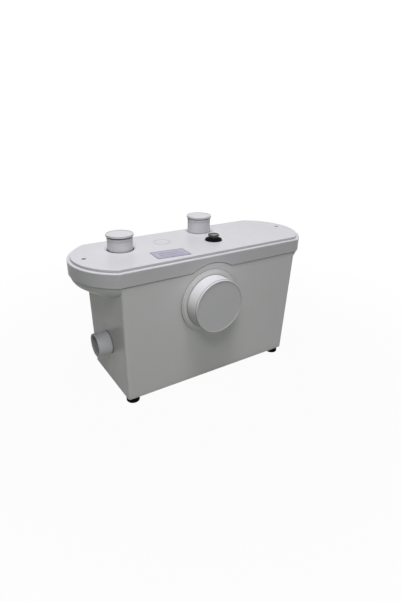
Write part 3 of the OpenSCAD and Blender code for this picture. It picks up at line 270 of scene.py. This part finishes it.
def cast(name, rgb):
    """As-cast alloy: a sandy skin with darker hollows."""
    t = Tree(name)
    sand = t.noise(420.0, detail=4.0, rough=0.65)
    shade = t.ramp(t.noise(25.0, detail=3.0), [(0.3, tone(rgb, 0.8)), (0.7, rgb)])
    shade = t.mix(t.span(sand, 0.0, 0.4, start=0.5, end=0.75), shade, tone(rgb, 0.55))
    pitted = t.bump(sand, height=0.0002, strength=0.5, normal=t.soft_edges(0.0005))
    return t.surface(shade, t.span(sand, 0.4, 0.65), pitted, Metallic=0.9)


def enamel(name, rgb):
    """Dark stoved enamel with a slight orange peel and dull patches."""
    t = Tree(name)
    patch = t.noise(18.0, detail=4.0)
    shade = t.ramp(patch, [(0.3, tone(rgb, 0.75)), (0.7, rgb)])
    peel = t.bump(t.noise(300.0), height=0.0002, strength=0.4, normal=t.soft_edges(0.0006))
    return t.surface(shade, t.span(patch, 0.25, 0.45), peel, IOR=PLASTIC_IOR)


def wound(name, rgb):
    """Enamelled copper wire laid side by side."""
    t = Tree(name)
    wires = t.waves(420.0, distort=1.2, kind="RINGS")
    shade = t.ramp(wires, [(0.15, tone(rgb, 0.35)), (0.7, rgb)])
    shade = t.mix(t.span(t.noise(60.0), 0.0, 0.3), shade, tone(rgb, 0.6))
    sheen = t.span(wires, 0.22, 0.45, start=0.0, end=1.0)
    return t.surface(shade, sheen, t.bump(wires, height=0.0004, strength=0.8), Metallic=0.85)


def stacked(name, rgb):
    """Thin steel sheets stacked along the shaft."""
    t = Tree(name)
    sheets = t.waves(320.0, distort=0.3, kind="BANDS")
    shade = t.ramp(sheets, [(0.2, tone(rgb, 0.5)), (0.6, rgb)])
    shade = t.mix(t.span(t.noise(45.0, detail=4.0), 0.0, 0.4), shade, tone(rgb, 0.65))
    sheen = t.span(sheets, 0.35, 0.6, start=0.0, end=1.0)
    return t.surface(shade, sheen, t.bump(sheets, height=0.0003, strength=0.6), Metallic=1.0)


def granules(name, rgb):
    """Pressed carbon granules."""
    t = Tree(name)
    grains = t.cells(700.0)
    shade = t.ramp(grains, [(0.1, tone(rgb, 2.2)), (0.7, tone(rgb, 0.4))])
    sheen = t.span(grains, 0.5, 0.9, start=0.0, end=1.0)
    return t.surface(shade, sheen, t.bump(grains, height=0.0008, strength=0.9), IOR=PLASTIC_IOR)


TANK_WHITE = (0.84, 0.84, 0.84)
# In each look the edge share paints a highlight; the shares for gaps, wide corners and the bore paint
# shade
looks = {
    "tank": moulded("tank_white", TANK_WHITE, 0.36, gloss=0.2, edges=0.5, corners=0.6),
    "flange": moulded("flange_white", TANK_WHITE, 0.36, gloss=0.2, seam_shade=0.7, edges=1.0, corners=0.25),
    "lid": moulded("lid_white", (0.70, 0.695, 0.715), 0.36, gloss=0.2, edges=1.0),
    "plug": moulded("plug_white", (0.715, 0.71, 0.73), 0.34, gloss=0.15, seam_shade=0.3, edges=1.0),
    "wc_plug": moulded("wc_plug_white", (0.79, 0.785, 0.80), 0.36, gloss=0.1, seam_shade=0.3, edges=1.0),
    "pipe": moulded("pipe_white", (0.70, 0.695, 0.73), 0.36, gloss=0.25),
    "outlet": moulded("outlet_white", (0.81, 0.805, 0.84), 0.42, gloss=0.03, bore_shade=0.8),
    "cap": moulded("cap_black", (0.045, 0.045, 0.05), 0.14),
    "dark": moulded("dark_plastic", (0.02, 0.02, 0.023), 0.38),
    "inner": moulded("inner_grey", (0.42, 0.44, 0.46), 0.45),
    "cream": moulded("cream_plastic", (0.72, 0.67, 0.55), 0.4),
    "rubber": rubber("black_rubber", (0.005, 0.005, 0.006)),
    "seal": rubber("seal_rubber", (0.07, 0.07, 0.05), 0.6),
    "pale_seal": rubber("pale_seal_rubber", (0.42, 0.42, 0.42), 0.6),
    "screw": machined("screw_steel", (0.20, 0.20, 0.21), 0.38, stretch=(1.0, 1.0, 0.1)),
    "steel": machined("bright_steel", (0.42, 0.425, 0.44), 0.30, stretch=(1.0, 0.08, 0.08)),
    "alloy": cast("cast_alloy", (0.38, 0.385, 0.40)),
    "enamel": enamel("motor_enamel", (0.06, 0.07, 0.08)),
    "copper": wound("copper_wire", (0.62, 0.28, 0.12)),
    "core": stacked("core_sheets", (0.32, 0.325, 0.34)),
    "carbon": granules("carbon_granules", (0.02, 0.02, 0.021)),
}
worn_by = {
    "tank": "tank",
    "flange": "wc_inlet_flange",
    "lid": "lid right_inlet_seal",
    "plug": "left_inlet_plug right_inlet_plug",
    "wc_plug": "wc_inlet_spigot wc_inlet_plug",
    "pipe": "left_inlet_tube right_inlet_tube",
    "outlet": "outlet_spigot",
    "cap": "vent_cap",
    "dark": "vent_body pump_casing pump_cover micro_switch supply_gland",
    "inner": "wc_inlet_nut valve_body valve_seat impeller grinding_basket pressure_bell switch_housing "
             "terminal_box terminal_cover inlet_lock_rings outlet_flange",
    "cream": "switch_plunger run_capacitor terminal_strip",
    "rubber": "rubber_feet lid_gasket wc_inlet_gasket vent_base outlet_gasket valve_flap outlet_sleeve "
              "shaft_seal motor_saddles switch_diaphragm motor_lead",
    "seal": "left_plug_seal",
    "pale_seal": "right_plug_seal",
    "screw": "lid_screws",
    "steel": "valve_pin hose_clamps impeller_nut cutter motor_shaft front_bearing rear_bearing",
    "alloy": "motor_front_bracket motor_end_cover",
    "enamel": "motor_can",
    "copper": "stator_windings",
    "core": "rotor_core stator_core",
    "carbon": "vent_filter",
}
for look, names in worn_by.items():
    for name in names.split():
        data = nodes[name].data
        data.materials.clear()
        data.materials.append(looks[look])

# Rating plate: a bare sticker with a ruled border and empty rows, on the lid near its front edge

PLATE_L = 0.069
PLATE_W = 0.0424
PLATE_T = 0.0003
PLATE_CORNER = 0.002
CORNER_STEPS = 6
# Where the softened upper edge starts and how far it draws in, as shares of the thickness
UPPER_EDGE_START = 0.7
UPPER_EDGE_INSET = 0.4
PLATE_AT = (-0.0846, -0.0436)
PLATE_TURN = math.radians(-5.3)
BORDER_ENDS = 0.0016
BORDER_SIDES = 0.0024
MARGIN_ENDS = 0.012
MARGIN_SIDES = 0.006
# Rows: one dark line to each pitch, as a share of it; the shift says where across the plate they fall
ROW_PITCH = 0.0105
ROW_SHARE = 0.24
ROW_SHIFT = 0.1
FILM_DARK = (0.37, 0.355, 0.455)
FILM_PALE = (0.42, 0.405, 0.505)
INK = (0.12, 0.105, 0.19)

# The left tube's mount starts at the lid's top
mounts = {mount["name"]: mount for mount in frame["record"]["mounts"]}
left_tube = mounts["left_inlet"]
lid_top = left_tube["pos_m"][2] - left_tube["dims"]["length_mm"] / 1000 / 2


def plate_material():
    """A printed film, with its border and rows drawn in the plate's own coordinates."""
    t = Tree("bare_plate")
    split = t.add("ShaderNodeSeparateXYZ")
    t.join(t.place, split.inputs[0])
    x, y = split.outputs["X"], split.outputs["Y"]
    along, across = t.math("ABSOLUTE", x), t.math("ABSOLUTE", y)
    border = t.math("MAXIMUM", t.math("GREATER_THAN", along, PLATE_L / 2 - BORDER_ENDS),
                    t.math("GREATER_THAN", across, PLATE_W / 2 - BORDER_SIDES))
    inside = t.math("MULTIPLY", t.math("LESS_THAN", along, PLATE_L / 2 - MARGIN_ENDS),
                    t.math("LESS_THAN", across, PLATE_W / 2 - MARGIN_SIDES))
    row = t.math("FRACT", t.math("DIVIDE", t.math("ADD", y, ROW_SHIFT), ROW_PITCH))
    rows = t.math("MULTIPLY", t.math("LESS_THAN", row, ROW_SHARE), inside)
    film = t.ramp(t.noise(90.0, detail=3.0), [(0.3, FILM_DARK), (0.7, FILM_PALE)])
    shade = t.mix(t.math("MAXIMUM", border, rows), film, INK)
    sheen = t.span(t.noise(60.0, detail=3.0), 0.25, 0.4)
    wavy = t.bump(t.noise(45.0), height=0.0003, strength=0.3)
    return t.surface(shade, sheen, wavy, IOR=PLASTIC_IOR)


def rounded_plate(name, length, width, thick, corner):
    """A thin plate with rounded corners and a softened upper edge, centred on its own origin."""
    ring = []
    for side_x, side_y, start in ((1, 1, 0), (-1, 1, 90), (-1, -1, 180), (1, -1, 270)):
        for i in range(CORNER_STEPS + 1):
            a = math.radians(start + 90 * i / CORNER_STEPS)
            ring.append((side_x * (length / 2 - corner) + corner * math.cos(a),
                         side_y * (width / 2 - corner) + corner * math.sin(a)))
    bm = bmesh.new()
    loops = []
    for z, inset in ((0.0, 0.0), (thick * UPPER_EDGE_START, 0.0), (thick, thick * UPPER_EDGE_INSET)):
        drawn_in = [(x - math.copysign(inset, x), y - math.copysign(inset, y)) for x, y in ring]
        loops.append([bm.verts.new((x, y, z)) for x, y in drawn_in])
    for low, high in zip(loops, loops[1:]):
        for i in range(len(ring)):
            j = (i + 1) % len(ring)
            bm.faces.new((low[i], low[j], high[j], high[i]))
    bm.faces.new(loops[-1])
    bm.faces.new(list(reversed(loops[0])))
    mesh = bpy.data.meshes.new(name)
    bm.to_mesh(mesh)
    bm.free()
    piece = bpy.data.objects.new(name, mesh)
    scene.collection.objects.link(piece)
    return piece


plate = rounded_plate("rating_plate", PLATE_L, PLATE_W, PLATE_T, PLATE_CORNER)
plate.matrix_world = Matrix.Translation((*PLATE_AT, lid_top)) @ Matrix.Rotation(PLATE_TURN, 4, "Z")
plate.data.materials.append(plate_material())
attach(plate, "housing")

# Studio: a floor and a background that show white, a soft key from above, and weaker lamps as fill

FLOOR_HALF = 6.0
FLOOR_DARK = (0.115, 0.125, 0.11)
FLOOR_PALE = (0.125, 0.135, 0.12)
NEAR_WHITE = 0.965
NEAR_RADIUS = 0.3
FAR_RADIUS = 0.9
SKY_TINT = (0.97, 1.0, 0.95, 1.0)
SKY_LIGHT = 0.04


def seen_as_white(tree):
    """One for the rays that see the white background: from the camera, or sent on by gloss or glass."""
    path = tree.nodes.new("ShaderNodeLightPath")
    seen = path.outputs["Is Camera Ray"]
    for ray in ("Is Glossy Ray", "Is Transmission Ray"):
        most = tree.nodes.new("ShaderNodeMath")
        most.operation = "MAXIMUM"
        tree.links.new(seen, most.inputs[0])
        tree.links.new(path.outputs[ray], most.inputs[1])
        seen = most.outputs[0]
    return seen


def floor_material():
    """A matt floor that shows white, a little less near the object, where its shadow falls."""
    t = Tree("studio_floor")
    matt = t.add("ShaderNodeBsdfDiffuse")
    t.join(t.ramp(t.noise(3.0), [(0.3, FLOOR_DARK), (0.7, FLOOR_PALE)]), matt.inputs["Color"])
    glow = t.add("ShaderNodeEmission")
    glow.inputs["Strength"].default_value = 1.0
    away = t.add("ShaderNodeVectorMath", operation="LENGTH")
    t.join(t.place, away.inputs[0])
    white = t.span(away.outputs["Value"], NEAR_WHITE, 1.0, start=NEAR_RADIUS, end=FAR_RADIUS)
    blend = t.add("ShaderNodeMixShader")
    t.join(t.math("MULTIPLY", seen_as_white(t.material.node_tree), white), blend.inputs[0])
    t.join(matt.outputs[0], blend.inputs[1])
    t.join(glow.outputs[0], blend.inputs[2])
    t.join(blend.outputs[0], t.out.inputs["Surface"])
    return t.material


def floor():
    corners = [(x * FLOOR_HALF, y * FLOOR_HALF, 0.0) for x, y in ((-1, -1), (1, -1), (1, 1), (-1, 1))]
    mesh = bpy.data.meshes.new("studio_floor")
    mesh.from_pydata(corners, [], [(0, 1, 2, 3)])
    mesh.materials.append(floor_material())
    piece = bpy.data.objects.new("studio_floor", mesh)
    scene.collection.objects.link(piece)


def world():
    """A weak even light on the object, in front of a white background."""
    sky = bpy.data.worlds.new("studio")
    scene.world = sky
    sky.use_nodes = True
    tree = sky.node_tree
    tree.nodes.clear()
    light = tree.nodes.new("ShaderNodeBackground")
    light.inputs["Color"].default_value = SKY_TINT
    light.inputs["Strength"].default_value = SKY_LIGHT
    white = tree.nodes.new("ShaderNodeBackground")
    white.inputs["Color"].default_value = (1.0, 1.0, 1.0, 1.0)
    white.inputs["Strength"].default_value = 1.0
    blend = tree.nodes.new("ShaderNodeMixShader")
    out = tree.nodes.new("ShaderNodeOutputWorld")
    tree.links.new(seen_as_white(tree), blend.inputs[0])
    tree.links.new(light.outputs[0], blend.inputs[1])
    tree.links.new(white.outputs[0], blend.inputs[2])
    tree.links.new(blend.outputs[0], out.inputs["Surface"])


def lamp(name, place, aim_z, width, watts, tint, glints=True):
    """A round area lamp that points at a height on the object's middle axis."""
    data = bpy.data.lights.new(name, "AREA")
    data.shape = "DISK"
    data.size = width
    data.energy = watts
    data.color = tint
    piece = bpy.data.objects.new(name, data)
    scene.collection.objects.link(piece)
    piece.visible_glossy = glints
    piece.location = place
    ahead = Vector((0.0, 0.0, aim_z)) - Vector(place)
    piece.rotation_euler = ahead.to_track_quat("-Z", "Y").to_euler()


floor()
world()
lamp("key", (-0.3, -0.35, 2.5), aim_z=0.2, width=1.0, watts=42.0, tint=(1.0, 0.99, 1.02))
lamp("front", (-1.2, -1.6, 2.4), aim_z=0.1, width=0.8, watts=12.8, tint=(1.0, 0.98, 1.06))
lamp("low", (-0.2, -2.0, 0.2), aim_z=0.1, width=0.6, watts=4.0, tint=(1.0, 0.99, 1.05))
lamp("low_left", (-1.2, -2.0, 0.2), aim_z=0.1, width=0.6, watts=2.1, tint=(1.0, 1.13, 0.64))
lamp("back", (1.3, 1.6, 0.14), aim_z=0.14, width=0.24, watts=9.0, tint=(1.0, 1.0, 1.0), glints=False)

# Camera: the photo's view, from a camera fitted to it

SENSOR_MM = 36.0
LENS_MM = 24.414
SHIFT_X = 0.02925
SHIFT_Y = 0.00912
NEAREST = 0.01
EYE = Vector((-0.4549, -0.6896, 0.5256))
AIM = Vector((-0.0234, 0.0100, 0.1414))
ROLL = math.radians(0.223)


def camera():
    data = bpy.data.cameras.new("camera")
    data.sensor_width = SENSOR_MM
    data.lens = LENS_MM
    data.shift_x = SHIFT_X
    data.shift_y = SHIFT_Y
    data.clip_start = NEAREST
    ahead = (AIM - EYE).normalized()
    level = ahead.cross(Vector((0, 0, 1))).normalized()
    upright = level.cross(ahead)
    right = level * math.cos(ROLL) + upright * math.sin(ROLL)
    up = upright * math.cos(ROLL) - level * math.sin(ROLL)
    piece = bpy.data.objects.new("camera", data)
    scene.collection.objects.link(piece)
    turn = Matrix((right, up, -ahead)).transposed()
    piece.matrix_world = Matrix.Translation(EYE) @ turn.to_4x4()
    scene.camera = piece


camera()
